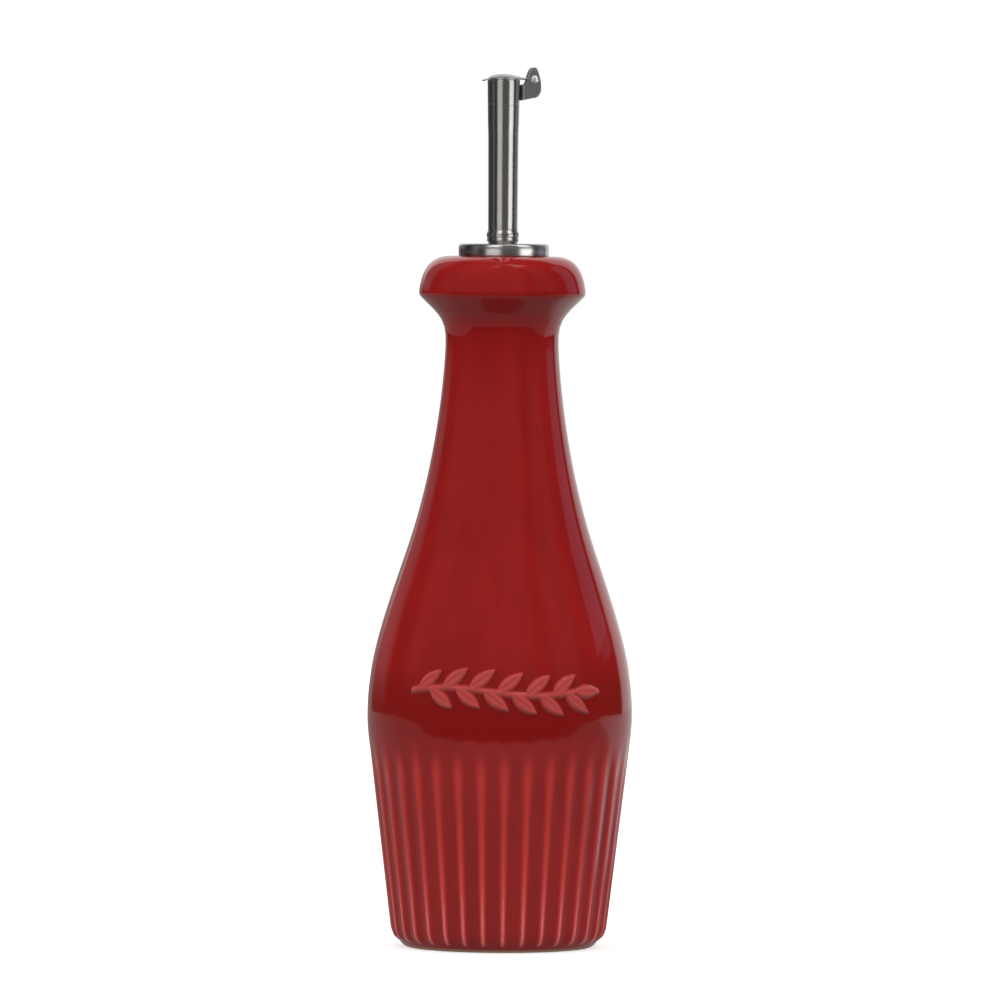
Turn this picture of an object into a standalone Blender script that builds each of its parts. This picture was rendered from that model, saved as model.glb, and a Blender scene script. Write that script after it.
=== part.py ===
"""Vinegar cruet: a fluted stoneware bottle with a steel pourer and its hinged flap.

Metres, +Z up. The origin is the middle of the foot ring, on the surface that the
cruet stands on. The raised sprig faces -Y, and the pourer's hinge is towards +X.
"""
import math

import bmesh
import bpy
import numpy as np
from mathutils import Matrix

MM = 0.001

# Stoneware bottle: outline as (radius, height), from the foot to the mouth.
FOOT_FACE_INNER = 19.5 * MM
FOOT_FACE_OUTER = 24.95 * MM
BASE_RECESS = 2.2 * MM
FLANK_BOTTOM = (28.84 * MM, 5.4 * MM)
FLANK_TOP = (34.9 * MM, 55.5 * MM)
BELLY = (35.42 * MM, 62.5 * MM)
SHOULDER = (24.6 * MM, 108.0 * MM)
SHOULDER_SLOPE = 0.333
WAIST = (15.05 * MM, 163.3 * MM)
RIM_CREASE = (22.3 * MM, 176.6 * MM)
BOTTLE_HEIGHT = 186.0 * MM
MOUTH_FACE = 13.5 * MM
MOUTH_ROUND = 1.6 * MM
BOTTLE_COLUMNS_PER_FLUTE = 3

# The room inside: a cast wall, thicker in the neck.
NECK_BORE = 9.5 * MM
BORE_BOTTOM = 158.0 * MM
WALL = 4.5 * MM
FLOOR = 4.8 * MM
FLOOR_ROUND = 6.0 * MM
CAVITY_COLUMNS = 36

# Narrow ridges on the flank, with shallow channels between them. The channels
# run out into the belly, and the ridges end just above the foot.
FLUTES = 34
FLUTE_DEPTH = 0.65 * MM
FIRST_RIDGE = math.radians(2.3)
RIDGE_FOOT = 1.9 * MM
RIDGE_FOOT_ROUND = 1.6 * MM
FLUTE_FADE_START = 38.0 * MM
FLUTE_FADE_END = 55.5 * MM

# Raised sprig of leaves on the belly.
SPRIG_HEIGHT = 70.4 * MM
SPRIG_RELIEF = 0.7 * MM
SPRIG_WAVE = 1.0 * MM
STEM_RADIUS = 0.75 * MM
STEM_FROM = math.radians(-42)
STEM_TO = math.radians(35)
STEM_POINTS = 20
LEAF_LENGTH = 8.4 * MM
LEAF_WIDTH = 3.8 * MM
LEAF_THICKNESS = 1.9 * MM
LEAF_TILT = math.radians(38)
LEAF_PAIRS = 6

# Stopper in the neck, and the steel collar over its flange.
GAP = 0.3 * MM
STOPPER_BOTTOM = 166.0 * MM
STOPPER_CORE = 8.1 * MM
STOPPER_RIBS = 4
STOPPER_FLANGE = 11.0 * MM
STOPPER_FLANGE_THICKNESS = 0.8 * MM
COLLAR_RADIUS = 12.0 * MM
COLLAR_BOTTOM = 186.5 * MM
COLLAR_TOP = 189.1 * MM
COLLAR_WALL = 0.6 * MM
COLLAR_EDGE = 0.5 * MM

# Pouring tube.
TUBE_TOP = 233.45 * MM
TUBE_BOTTOM = 164.0 * MM
TUBE_TOP_RADIUS = 4.19 * MM
TUBE_STEP_RADIUS = 4.09 * MM
TUBE_STEP_HEIGHT = 220.0 * MM
TUBE_FOOT_RADIUS = 3.94 * MM
TUBE_BORE = 3.4 * MM
BEAD_RADIUS = 4.42 * MM
BEAD_HEIGHT = 191.7 * MM
BEAD_HALF_LENGTH = 1.5 * MM
RING_RADIUS = 4.3 * MM
RING_TOP = 190.1 * MM

# Hinge behind the tube: a bent bracket with two ears, and a riveted pin.
POURER_TURN = math.radians(11)
PIN_REACH = 8.05 * MM
PIN_HEIGHT = 233.65 * MM
PIN_RADIUS = 0.6 * MM
PIN_HEAD_RADIUS = 1.05 * MM
PIN_HEAD_THICKNESS = 0.5 * MM
SHEET = 0.5 * MM
BRACKET_HALF_WIDTH = 2.0 * MM
BRACKET_BOTTOM = 228.5 * MM
BRACKET_SHELF = 232.35 * MM
ARM_RISE = 0.4 * MM
EAR_PEAK = (8.25 * MM, 237.1 * MM)
EAR_TIP = 1.1 * MM
EAR_FRONT = 6.1 * MM
EAR_BACK = 10.16 * MM
EAR_HEEL = 1.8 * MM

# Flap: a stamped cap on the tube's end, with a thumb lip and a strap to the pin.
FLAP_UNDERSIDE = 233.75 * MM
FLAP_SHEET = 0.45 * MM
FLAP_RADIUS = 4.35 * MM
FLAP_LIP = 5.7 * MM
FLAP_LIP_HALF_WIDTH = 1.5 * MM
DOME_RADIUS = 4.0 * MM
DOME_HEIGHT = 1.25 * MM
STRAP_HALF_WIDTH = 1.15 * MM
KNUCKLE_RADIUS = 1.4 * MM
KNUCKLE_LENGTH = 2.36 * MM

# Facets round the pourer's turned pieces.
STEPS_TUBE = 32
STEPS_COLLAR = 48
STEPS_STOPPER = 24
STEPS_PIN = 20


def clear_scene():
    for item in list(bpy.data.objects):
        bpy.data.objects.remove(item, do_unlink=True)


def new_collection(name, parent=None):
    collection = bpy.data.collections.new(name)
    home = parent or bpy.context.scene.collection
    home.children.link(collection)
    return collection


def principled(name, color, roughness, metallic):
    material = bpy.data.materials.new(name)
    material.use_nodes = True
    shader = material.node_tree.nodes["Principled BSDF"]
    shader.inputs["Base Color"].default_value = (*color, 1.0)
    shader.inputs["Roughness"].default_value = roughness
    shader.inputs["Metallic"].default_value = metallic
    return material


def add_object(name, data, collection):
    item = bpy.data.objects.new(name, data)
    collection.objects.link(item)
    return item


def mark_as_cutter(item):
    item.hide_render = True
    item.display_type = "WIRE"
    return item


def bake(item):
    """Replace an object's mesh by the one that its modifiers give."""
    bpy.context.view_layer.update()
    graph = bpy.context.evaluated_depsgraph_get()
    mesh = bpy.data.meshes.new_from_object(item.evaluated_get(graph))
    item.modifiers.clear()
    item.data = mesh
    return item


def boolean(item, other, operation):
    modifier = item.modifiers.new(f"{operation.lower()} {other.name}", "BOOLEAN")
    modifier.operation = operation
    modifier.object = other
    return modifier


def bezier(start, start_handle, end_handle, end, steps):
    """Points of one cubic curve, from its start and without its end."""
    t = np.arange(steps)[:, None] / steps
    corners = [np.array(corner) for corner in (start, start_handle, end_handle, end)]
    weights = ((1 - t) ** 3, 3 * (1 - t) ** 2 * t, 3 * (1 - t) * t ** 2, t ** 3)
    points = sum(weight * corner for weight, corner in zip(weights, corners))
    return [tuple(point) for point in points]


def arc(centre, radius, start, end, steps):
    """Points of an arc in (radius, height), both of its ends included."""
    angles = np.radians(np.linspace(start, end, steps + 1))
    return [(centre[0] + radius * math.cos(a), centre[1] + radius * math.sin(a)) for a in angles]


def turned(name, profile, steps, collection, closed=False):
    """A body of revolution about Z. The profile runs down its outer side."""
    count = len(profile)
    edges = [(i, i + 1) for i in range(count - 1)]
    if closed:
        edges.append((count - 1, 0))
    mesh = bpy.data.meshes.new(name)
    mesh.from_pydata([(radius, 0.0, height) for radius, height in profile], edges, [])
    item = add_object(name, mesh, collection)
    screw = item.modifiers.new("turn", "SCREW")
    screw.axis = "Z"
    screw.steps = steps
    screw.render_steps = steps
    screw.use_merge_vertices = True
    screw.merge_threshold = 0.00001
    return item


def smooth(item, material, sharp=35):
    """Give a finished piece its material and smooth shading, creases kept."""
    bake(item)
    item.data.shade_smooth()
    item.data.set_sharp_from_angle(angle=math.radians(sharp))
    item.data.materials.clear()
    item.data.materials.append(material)
    return item


# ---------------------------------------------------------------- stoneware bottle

def flank_radius(height):
    slope = (FLANK_TOP[0] - FLANK_BOTTOM[0]) / (FLANK_TOP[1] - FLANK_BOTTOM[1])
    return FLANK_BOTTOM[0] + slope * (height - FLANK_BOTTOM[1])


def shoulder(steps):
    """The long curve from the belly up to the waist, upright at both ends."""
    lower_handle = (SHOULDER[0] + SHOULDER_SLOPE * 17.8 * MM, SHOULDER[1] - 17.8 * MM)
    upper_handle = (SHOULDER[0] - SHOULDER_SLOPE * 24.7 * MM, SHOULDER[1] + 24.7 * MM)
    lower = bezier(BELLY, (BELLY[0], BELLY[1] + 15.6 * MM), lower_handle, SHOULDER, steps)
    return lower + bezier(SHOULDER, upper_handle, (WAIST[0], WAIST[1] - 5.0 * MM), WAIST, steps)


def belly_radius(height):
    points = np.array(shoulder(12))
    return float(np.interp(height, points[:, 1], points[:, 0]))


def bottle_outline():
    """The outside from the foot's middle to the mouth's middle."""
    toe = (FOOT_FACE_OUTER, 0.0)
    toe_handle = (FOOT_FACE_OUTER + 1.65 * MM, 0.0)
    heel_handle = (FLANK_BOTTOM[0] - 0.54 * MM, FLANK_BOTTOM[1] - 3.2 * MM)
    outline = [(0.0, BASE_RECESS), (FOOT_FACE_INNER - 1.5 * MM, BASE_RECESS)]
    outline += [(FOOT_FACE_INNER, 0.0)]
    outline += bezier(toe, toe_handle, heel_handle, FLANK_BOTTOM, 5)
    flank_rows = np.linspace(FLANK_BOTTOM[1], FLANK_TOP[1], 7)
    outline += [(flank_radius(height), height) for height in flank_rows[:-1]]
    turn_start = (flank_radius(58.0 * MM), 58.0 * MM)
    outline += bezier(FLANK_TOP, turn_start, (BELLY[0], 60.0 * MM), BELLY, 2)
    outline += shoulder(5)
    under_rim = (RIM_CREASE[0] - 5.0 * MM, RIM_CREASE[1] - 4.9 * MM)
    outline += bezier(WAIST, (WAIST[0], WAIST[1] + 6.1 * MM), under_rim, RIM_CREASE, 4)
    rim_face = (RIM_CREASE[0] - 0.8 * MM, RIM_CREASE[1] + 4.6 * MM)
    rim_round = (MOUTH_FACE + 6.1 * MM, BOTTLE_HEIGHT - 0.1 * MM)
    outline += bezier(RIM_CREASE, rim_face, rim_round, (MOUTH_FACE, BOTTLE_HEIGHT), 5)
    outline += [(MOUTH_FACE, BOTTLE_HEIGHT), (0.0, BOTTLE_HEIGHT)]
    return outline


def cavity_outline():
    """The inside from the floor's middle to just above the mouth."""
    floor = BASE_RECESS + FLOOR
    wall_radius = flank_radius(floor + FLOOR_ROUND) - WALL
    corner = (wall_radius - FLOOR_ROUND, floor + FLOOR_ROUND)
    inside_belly = (BELLY[0] - WALL, BELLY[1])
    inside_neck = (NECK_BORE, BORE_BOTTOM)
    outline = [(0.0, floor)] + arc(corner, FLOOR_ROUND, -90, 0, 4)
    rise = (inside_belly[0], inside_belly[1] + 29.5 * MM)
    outline += bezier(inside_belly, rise, (NECK_BORE, BORE_BOTTOM - 46 * MM), inside_neck, 9)
    mouth = (NECK_BORE + MOUTH_ROUND, BOTTLE_HEIGHT - MOUTH_ROUND)
    outline += [inside_neck] + arc(mouth, MOUTH_ROUND, 180, 90, 3)[:-1]
    outline += [(mouth[0], BOTTLE_HEIGHT + GAP), (0.0, BOTTLE_HEIGHT + GAP)]
    return outline


def smoothstep(value):
    value = np.clip(value, 0.0, 1.0)
    return value * value * (3 - 2 * value)


def press_flutes(item):
    """Draw the flank inwards, but not along the ridges: each channel is a shallow arc."""
    mesh = bake(item).data
    mesh.transform(Matrix.Rotation(FIRST_RIDGE - math.pi / 2, 4, "Z"))
    points = np.empty(len(mesh.vertices) * 3)
    mesh.vertices.foreach_get("co", points)
    points = points.reshape(-1, 3)
    azimuth = np.arctan2(points[:, 0], -points[:, 1]) - FIRST_RIDGE
    across = 2 * np.mod(azimuth * FLUTES / math.tau, 1.0) - 1
    height = points[:, 2]
    ridge = across ** 2 * smoothstep((height - RIDGE_FOOT) / RIDGE_FOOT_ROUND)
    fade = 1 - smoothstep((height - FLUTE_FADE_START) / (FLUTE_FADE_END - FLUTE_FADE_START))
    depth = FLUTE_DEPTH * (1 - ridge) * fade
    radius = np.hypot(points[:, 0], points[:, 1])
    outside = radius > FOOT_FACE_INNER + MM
    points[:, :2] *= np.where(outside, 1 - depth / np.maximum(radius, MM), 1.0)[:, None]
    mesh.vertices.foreach_set("co", points.ravel())
    mesh.update()


def sprig_point(azimuth):
    """A point of the stem: a slow wave along the belly."""
    wave = SPRIG_WAVE * math.sin(math.tau * (azimuth - STEM_FROM) / (STEM_TO - STEM_FROM))
    height = SPRIG_HEIGHT + wave
    return belly_radius(height), height


def make_stem(collection):
    curve = bpy.data.curves.new("stem", "CURVE")
    curve.dimensions = "3D"
    curve.bevel_depth = STEM_RADIUS
    curve.bevel_resolution = 2
    curve.use_fill_caps = True
    spline = curve.splines.new("POLY")
    spline.points.add(STEM_POINTS - 1)
    for point, azimuth in zip(spline.points, np.linspace(STEM_FROM, STEM_TO, STEM_POINTS)):
        radius, height = sprig_point(azimuth)
        point.co = (radius * math.sin(azimuth), -radius * math.cos(azimuth), height, 1.0)
    item = add_object("stem", curve, collection)
    bpy.context.view_layer.update()
    graph = bpy.context.evaluated_depsgraph_get()
    mesh = bpy.data.meshes.new_from_object(item.evaluated_get(graph))
    bpy.data.objects.remove(item, do_unlink=True)
    weld(mesh)
    return add_object("stem", mesh, collection)


def weld(mesh):
    shape = bmesh.new()
    shape.from_mesh(mesh)
    bmesh.ops.remove_doubles(shape, verts=shape.verts, dist=0.00001)
    shape.to_mesh(mesh)
    shape.free()


def make_leaf(name, azimuth, tilt, collection):
    """A flattened ball that starts on the stem and leans away from it."""
    shape = bmesh.new()
    bmesh.ops.create_uvsphere(shape, u_segments=10, v_segments=7, radius=0.5)
    mesh = bpy.data.meshes.new(name)
    shape.to_mesh(mesh)
    shape.free()
    radius, height = sprig_point(azimuth)
    sunk = radius + SPRIG_RELIEF - LEAF_THICKNESS / 2
    mesh.transform(Matrix.Diagonal((LEAF_LENGTH, LEAF_THICKNESS, LEAF_WIDTH, 1.0)))
    mesh.transform(Matrix.Translation((LEAF_LENGTH / 2, 0.0, 0.0)))
    mesh.transform(Matrix.Rotation(-tilt, 4, "Y"))
    reach = math.cos(tilt) * LEAF_LENGTH / 2
    mesh.transform(Matrix.Translation((-reach, -sunk, height)))
    mesh.transform(Matrix.Rotation(azimuth + reach / radius, 4, "Z"))
    return add_object(name, mesh, collection)


def make_sprig(collection):
    make_stem(collection)
    spacing = (STEM_TO - STEM_FROM) / (LEAF_PAIRS + 0.3)
    for pair in range(LEAF_PAIRS):
        azimuth = STEM_FROM + spacing * (pair + 0.35)
        make_leaf(f"upper leaf {pair}", azimuth, LEAF_TILT, collection)
        make_leaf(f"lower leaf {pair}", azimuth + spacing / 2, -LEAF_TILT, collection)
    make_leaf("end leaf", STEM_TO - math.radians(1), 0.0, collection)


def make_bottle(collection, cutters, glaze):
    columns = FLUTES * BOTTLE_COLUMNS_PER_FLUTE
    bottle = turned("bottle", bottle_outline()[::-1], columns, collection)
    press_flutes(bottle)
    sprig = new_collection("sprig pieces", cutters)
    make_sprig(sprig)
    union = bottle.modifiers.new("sprig", "BOOLEAN")
    union.operation = "UNION"
    union.operand_type = "COLLECTION"
    union.collection = sprig
    bake(bottle)
    for piece in list(sprig.objects):
        bpy.data.objects.remove(piece, do_unlink=True)
    bpy.data.collections.remove(sprig)
    cavity = turned("cavity", cavity_outline()[::-1], CAVITY_COLUMNS, cutters)
    boolean(bottle, mark_as_cutter(bake(cavity)), "DIFFERENCE")
    return smooth(bottle, glaze)


# ---------------------------------------------------------------- stopper and collar

def make_stopper(collection, rubber):
    """A ribbed plug in the neck, with a flange on the mouth and a bore for the tube."""
    bore = TUBE_FOOT_RADIUS + GAP
    flange_bottom = BOTTLE_HEIGHT + GAP
    flange_top = flange_bottom + STOPPER_FLANGE_THICKNESS
    rib_radius = NECK_BORE - GAP
    ribs_top = BOTTLE_HEIGHT - MOUTH_ROUND - MM
    pitch = (ribs_top - STOPPER_BOTTOM) / STOPPER_RIBS
    profile = [(bore, flange_top), (STOPPER_FLANGE, flange_top), (STOPPER_FLANGE, flange_bottom)]
    profile.append((STOPPER_CORE, flange_bottom))
    for rib in range(STOPPER_RIBS):
        top = ribs_top - rib * pitch
        profile += [(STOPPER_CORE, top), (rib_radius, top - 0.35 * pitch)]
        profile += [(rib_radius, top - 0.5 * pitch), (STOPPER_CORE, top - 0.85 * pitch)]
    profile += [(STOPPER_CORE - MM, STOPPER_BOTTOM), (bore, STOPPER_BOTTOM)]
    stopper = turned("stopper", profile, STEPS_STOPPER, collection, closed=True)
    return smooth(stopper, rubber)


def make_collar(collection, steel):
    """A shallow steel cap whose skirt hides the stopper's flange."""
    bore = TUBE_FOOT_RADIUS + GAP
    roof = BOTTLE_HEIGHT + GAP + STOPPER_FLANGE_THICKNESS + GAP
    edge = (COLLAR_RADIUS - COLLAR_EDGE, COLLAR_TOP - COLLAR_EDGE)
    profile = [(bore, COLLAR_TOP)]
    profile += arc(edge, COLLAR_EDGE, 90, 0, 3)
    profile += [(COLLAR_RADIUS, COLLAR_BOTTOM), (COLLAR_RADIUS - COLLAR_WALL, COLLAR_BOTTOM)]
    profile += [(COLLAR_RADIUS - COLLAR_WALL, roof), (bore, roof)]
    collar = turned("collar", profile, STEPS_COLLAR, collection, closed=True)
    return smooth(collar, steel)


# ---------------------------------------------------------------- pouring tube

def make_spout(collection, steel):
    """The tube, with a bead and a small ring where it leaves the collar."""
    ring_bottom = COLLAR_TOP + GAP
    lip = 0.15 * MM
    profile = [(TUBE_BORE, TUBE_TOP), (TUBE_TOP_RADIUS - lip, TUBE_TOP)]
    profile += [(TUBE_TOP_RADIUS, TUBE_TOP - lip), (TUBE_TOP_RADIUS, TUBE_STEP_HEIGHT + MM)]
    profile += [(TUBE_STEP_RADIUS, TUBE_STEP_HEIGHT)]
    bead_top = BEAD_HEIGHT + BEAD_HALF_LENGTH
    profile += [(TUBE_FOOT_RADIUS, bead_top + 5 * MM)]
    for angle in np.linspace(0, math.pi, 7):
        swell = (BEAD_RADIUS - TUBE_FOOT_RADIUS) * math.sin(angle)
        profile.append((TUBE_FOOT_RADIUS + swell, BEAD_HEIGHT + BEAD_HALF_LENGTH * math.cos(angle)))
    profile += [(RING_RADIUS, RING_TOP), (RING_RADIUS, ring_bottom)]
    profile += [(TUBE_FOOT_RADIUS, ring_bottom), (TUBE_FOOT_RADIUS, TUBE_BOTTOM)]
    profile += [(TUBE_BORE, TUBE_BOTTOM)]
    spout = turned("spout", profile, STEPS_TUBE, collection, closed=True)
    return smooth(spout, steel)


# ---------------------------------------------------------------- hinge and flap

def plate(name, outline, thickness, collection):
    """A flat sheet in the XY plane: a filled outline, thick to both sides of it."""
    curve = bpy.data.curves.new(name, "CURVE")
    curve.dimensions = "2D"
    curve.fill_mode = "BOTH"
    curve.extrude = thickness / 2
    spline = curve.splines.new("POLY")
    spline.points.add(len(outline) - 1)
    for point, (along, up) in zip(spline.points, outline):
        point.co = (along, up, 0.0, 1.0)
    spline.use_cyclic_u = True
    item = add_object(name, curve, collection)
    bpy.context.view_layer.update()
    graph = bpy.context.evaluated_depsgraph_get()
    mesh = bpy.data.meshes.new_from_object(item.evaluated_get(graph))
    bpy.data.objects.remove(item, do_unlink=True)
    weld(mesh)
    return add_object(name, mesh, collection)


def cylinder(name, radius, length, steps, collection):
    """A round bar along Y, centred on its object's origin."""
    shape = bmesh.new()
    bmesh.ops.create_cone(
        shape, cap_ends=True, segments=steps, radius1=radius, radius2=radius, depth=length)
    mesh = bpy.data.meshes.new(name)
    shape.to_mesh(mesh)
    shape.free()
    mesh.transform(Matrix.Rotation(math.pi / 2, 4, "X"))
    return add_object(name, mesh, collection)


def block(name, low, high, collection):
    """A box between two corners."""
    shape = bmesh.new()
    bmesh.ops.create_cube(shape, size=1.0)
    mesh = bpy.data.meshes.new(name)
    shape.to_mesh(mesh)
    shape.free()
    size = [b - a for a, b in zip(low, high)]
    middle = [(a + b) / 2 for a, b in zip(low, high)]
    mesh.transform(Matrix.Translation(middle) @ Matrix.Diagonal((*size, 1.0)))
    return add_object(name, mesh, collection)


def cheek_outline():
    """One side of the bracket: an arm from the tube, rising to a round-tipped ear."""
    front = TUBE_TOP_RADIUS + GAP
    heel = (EAR_BACK - EAR_HEEL, BRACKET_BOTTOM + ARM_RISE + EAR_HEEL)
    tip = (EAR_PEAK[0], EAR_PEAK[1] - EAR_TIP)
    back_handle = (EAR_BACK + 0.05 * MM, heel[1] + 2.6 * MM)
    tip_handle = (tip[0] + EAR_TIP + 0.15 * MM, tip[1] - 1.0 * MM)
    shelf_start = (EAR_FRONT - 0.3 * MM, BRACKET_SHELF + 0.1 * MM)
    outline = [(front, BRACKET_SHELF), (front, BRACKET_BOTTOM)]
    outline += arc(heel, EAR_HEEL, -80, 0, 4)[:-1]
    outline += bezier((EAR_BACK, heel[1]), back_handle, tip_handle, (tip[0] + EAR_TIP, tip[1]), 3)
    outline += arc(tip, EAR_TIP, 0, 180, 6)[:-1]
    outline += bezier((tip[0] - EAR_TIP, tip[1]), (EAR_FRONT + 0.2 * MM, PIN_HEIGHT + 0.7 * MM),
                      shelf_start, (EAR_FRONT - 1.5 * MM, BRACKET_SHELF), 6)
    return outline


def make_bracket(collection, cutters, steel):
    """A strip bent into a U: its web lies on the tube, its two cheeks carry the pin."""
    front = TUBE_TOP_RADIUS + GAP
    web_low = (front, -BRACKET_HALF_WIDTH, BRACKET_BOTTOM)
    web_high = (front + SHEET, BRACKET_HALF_WIDTH, BRACKET_SHELF)
    bracket = block("hinge_bracket", web_low, web_high, collection)
    for side in (-1, 1):
        cheek = plate(f"cheek {side}", cheek_outline(), SHEET, cutters)
        cheek.data.transform(Matrix.Rotation(math.pi / 2, 4, "X"))
        cheek.data.transform(Matrix.Translation((0.0, side * (BRACKET_HALF_WIDTH - SHEET / 2), 0.0)))
        boolean(bracket, mark_as_cutter(cheek), "UNION")
    hole = cylinder("pin hole", PIN_RADIUS + GAP, 4 * BRACKET_HALF_WIDTH, STEPS_PIN, cutters)
    hole.location = (PIN_REACH, 0.0, PIN_HEIGHT)
    boolean(bracket, mark_as_cutter(hole), "DIFFERENCE")
    return smooth(bracket, steel)


def make_pin(collection, steel):
    """A rivet across the ears, with a low domed head at each end."""
    head_start = BRACKET_HALF_WIDTH + GAP
    head_top = head_start + PIN_HEAD_THICKNESS
    half = [(0.0, head_top), (0.55 * PIN_HEAD_RADIUS, head_top - 0.08 * MM)]
    half += [(PIN_HEAD_RADIUS, head_start + 0.2 * MM), (PIN_HEAD_RADIUS, head_start)]
    half += [(PIN_RADIUS, head_start)]
    profile = half + [(radius, -height) for radius, height in half[::-1]]
    pin = turned("hinge_pin", profile, STEPS_PIN, collection)
    bake(pin)
    pin.data.transform(Matrix.Rotation(math.pi / 2, 4, "X"))
    pin.location = (PIN_REACH, 0.0, PIN_HEIGHT)
    return smooth(pin, steel)


def flap_outline():
    """The flap seen from above: a round cap, a thumb lip and a strap to the pin."""
    strap_angle = math.degrees(math.asin(STRAP_HALF_WIDTH / FLAP_RADIUS))
    lip_corner = FLAP_LIP - 0.4 * MM
    outline = [(PIN_REACH, -STRAP_HALF_WIDTH), (PIN_REACH, STRAP_HALF_WIDTH)]
    outline += arc((0.0, 0.0), FLAP_RADIUS, strap_angle, 145, 8)
    outline += [(-lip_corner, FLAP_LIP_HALF_WIDTH), (-FLAP_LIP, 0.5 * FLAP_LIP_HALF_WIDTH)]
    outline += [(-FLAP_LIP, -0.5 * FLAP_LIP_HALF_WIDTH), (-lip_corner, -FLAP_LIP_HALF_WIDTH)]
    outline += arc((0.0, 0.0), FLAP_RADIUS, 215, 360 - strap_angle, 8)
    return outline


def dome_profile(radius, height, base, depth):
    """A low spherical cap over a short skirt, from its top to its foot's middle."""
    ball = (radius ** 2 + height ** 2) / (2 * height)
    reach = math.degrees(math.asin(radius / ball))
    cap = arc((0.0, base + height - ball), ball, 90, 90 - reach, 5)
    return cap + [(radius, base - depth), (0.0, base - depth)]


def make_flap(collection, cutters, steel):
    """Sheet, pressed dome and rolled knuckle as one body, with its origin on the pin."""
    sheet_top = FLAP_UNDERSIDE + FLAP_SHEET
    flap = plate("flap", flap_outline(), FLAP_SHEET, collection)
    flap.data.transform(Matrix.Translation((0.0, 0.0, FLAP_UNDERSIDE + FLAP_SHEET / 2)))
    dome_shape = dome_profile(DOME_RADIUS, DOME_HEIGHT, sheet_top, FLAP_SHEET / 2)
    dome = turned("dome", dome_shape, STEPS_TUBE, cutters)
    hollow_radius = DOME_RADIUS - FLAP_SHEET
    hollow_shape = dome_profile(hollow_radius, DOME_HEIGHT - 0.05 * MM, FLAP_UNDERSIDE, GAP)
    hollow = turned("hollow", hollow_shape, STEPS_TUBE, cutters)
    knuckle = cylinder("knuckle", KNUCKLE_RADIUS, KNUCKLE_LENGTH, STEPS_PIN, cutters)
    eye = cylinder("eye", PIN_RADIUS + GAP, 4 * STRAP_HALF_WIDTH, STEPS_PIN, cutters)
    for item in (knuckle, eye):
        item.location = (PIN_REACH, 0.0, PIN_HEIGHT)
    boolean(flap, mark_as_cutter(bake(dome)), "UNION")
    boolean(flap, mark_as_cutter(knuckle), "UNION")
    boolean(flap, mark_as_cutter(bake(hollow)), "DIFFERENCE")
    boolean(flap, mark_as_cutter(eye), "DIFFERENCE")
    smooth(flap, steel)
    flap.data.transform(Matrix.Translation((-PIN_REACH, 0.0, -PIN_HEIGHT)))
    flap.location = (PIN_REACH, 0.0, PIN_HEIGHT)
    return flap


# ---------------------------------------------------------------- the whole cruet

def main():
    clear_scene()
    parts = new_collection("vinegar cruet")
    cutters = new_collection("cutters")
    glaze = principled("red glaze", (0.215, 0.010, 0.012), 0.12, 0.0)
    rubber = principled("dark stopper", (0.020, 0.019, 0.018), 0.55, 0.0)
    steel = principled("polished steel", (0.62, 0.61, 0.60), 0.16, 1.0)
    make_bottle(parts, cutters, glaze)
    make_stopper(parts, rubber)
    make_collar(parts, steel)
    make_spout(parts, steel)
    pourer = bpy.data.objects.new("pourer turn", None)
    parts.objects.link(pourer)
    pourer.rotation_euler = (0.0, 0.0, POURER_TURN)
    bracket = make_bracket(parts, cutters, steel)
    pin = make_pin(parts, steel)
    flap = make_flap(parts, cutters, steel)
    for piece in (bracket, pin, flap):
        piece.parent = pourer
    bpy.context.view_layer.update()


main()
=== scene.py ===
"""A vinegar cruet, dressed: red glazed stoneware bottle, steel pourer with a hinged flap.

Metres, +Z up, the origin in the middle of the foot. The bottle's surface is a turned
outline whose radius is changed, at each height and direction round the axis, by the flutes
of the flank and by the sprig that stands out of the belly.
"""
import math

import bpy
import numpy as np
from mathutils import Matrix


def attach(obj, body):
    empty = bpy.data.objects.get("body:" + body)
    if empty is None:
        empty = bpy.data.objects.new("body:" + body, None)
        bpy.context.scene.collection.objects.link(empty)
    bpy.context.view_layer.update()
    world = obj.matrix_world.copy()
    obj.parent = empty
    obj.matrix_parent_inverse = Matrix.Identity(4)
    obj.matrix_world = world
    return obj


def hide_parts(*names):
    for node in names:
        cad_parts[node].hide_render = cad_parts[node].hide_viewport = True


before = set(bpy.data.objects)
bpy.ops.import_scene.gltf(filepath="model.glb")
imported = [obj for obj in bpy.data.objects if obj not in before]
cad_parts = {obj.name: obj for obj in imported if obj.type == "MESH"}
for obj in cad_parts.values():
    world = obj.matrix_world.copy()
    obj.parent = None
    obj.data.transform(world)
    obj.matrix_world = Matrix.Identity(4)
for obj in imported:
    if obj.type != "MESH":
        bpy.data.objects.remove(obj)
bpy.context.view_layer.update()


# ================================================================ camera
# A long lens a little above the height of the collar, looking slightly down. It leans by a
# third of a degree, as a hand-levelled tripod does.

mm = 0.001  # lengths are in millimetres from here on, and mm turns them into metres
camera_side, camera_distance, camera_height = -0.3, 2670, 205.1
look_down, lean_over = 1.817, 0.37
lens = bpy.data.cameras.new("lens")
lens.sensor_width = 36
lens.lens = 357
lens.clip_end = 20
camera = bpy.data.objects.new("camera", lens)
bpy.context.scene.collection.objects.link(camera)
tripod = Matrix.Translation((camera_side * mm, -camera_distance * mm, camera_height * mm))
tilt = Matrix.Rotation(math.radians(90 - look_down), 4, "X")
lean = Matrix.Rotation(math.radians(lean_over), 4, "Z")
camera.matrix_world = tripod @ tilt @ lean
bpy.context.scene.camera = camera
bpy.context.scene.view_settings.view_transform = "Standard"


# ================================================================ bottle
# One piece of slip-cast stoneware, turned in outline, with a hollow foot and a thick rim.
# Thirty-four narrow ridges with hollow channels between them run up the flank and die
# out below the belly, where a sprig of leaves stands out of the wall.

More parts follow.
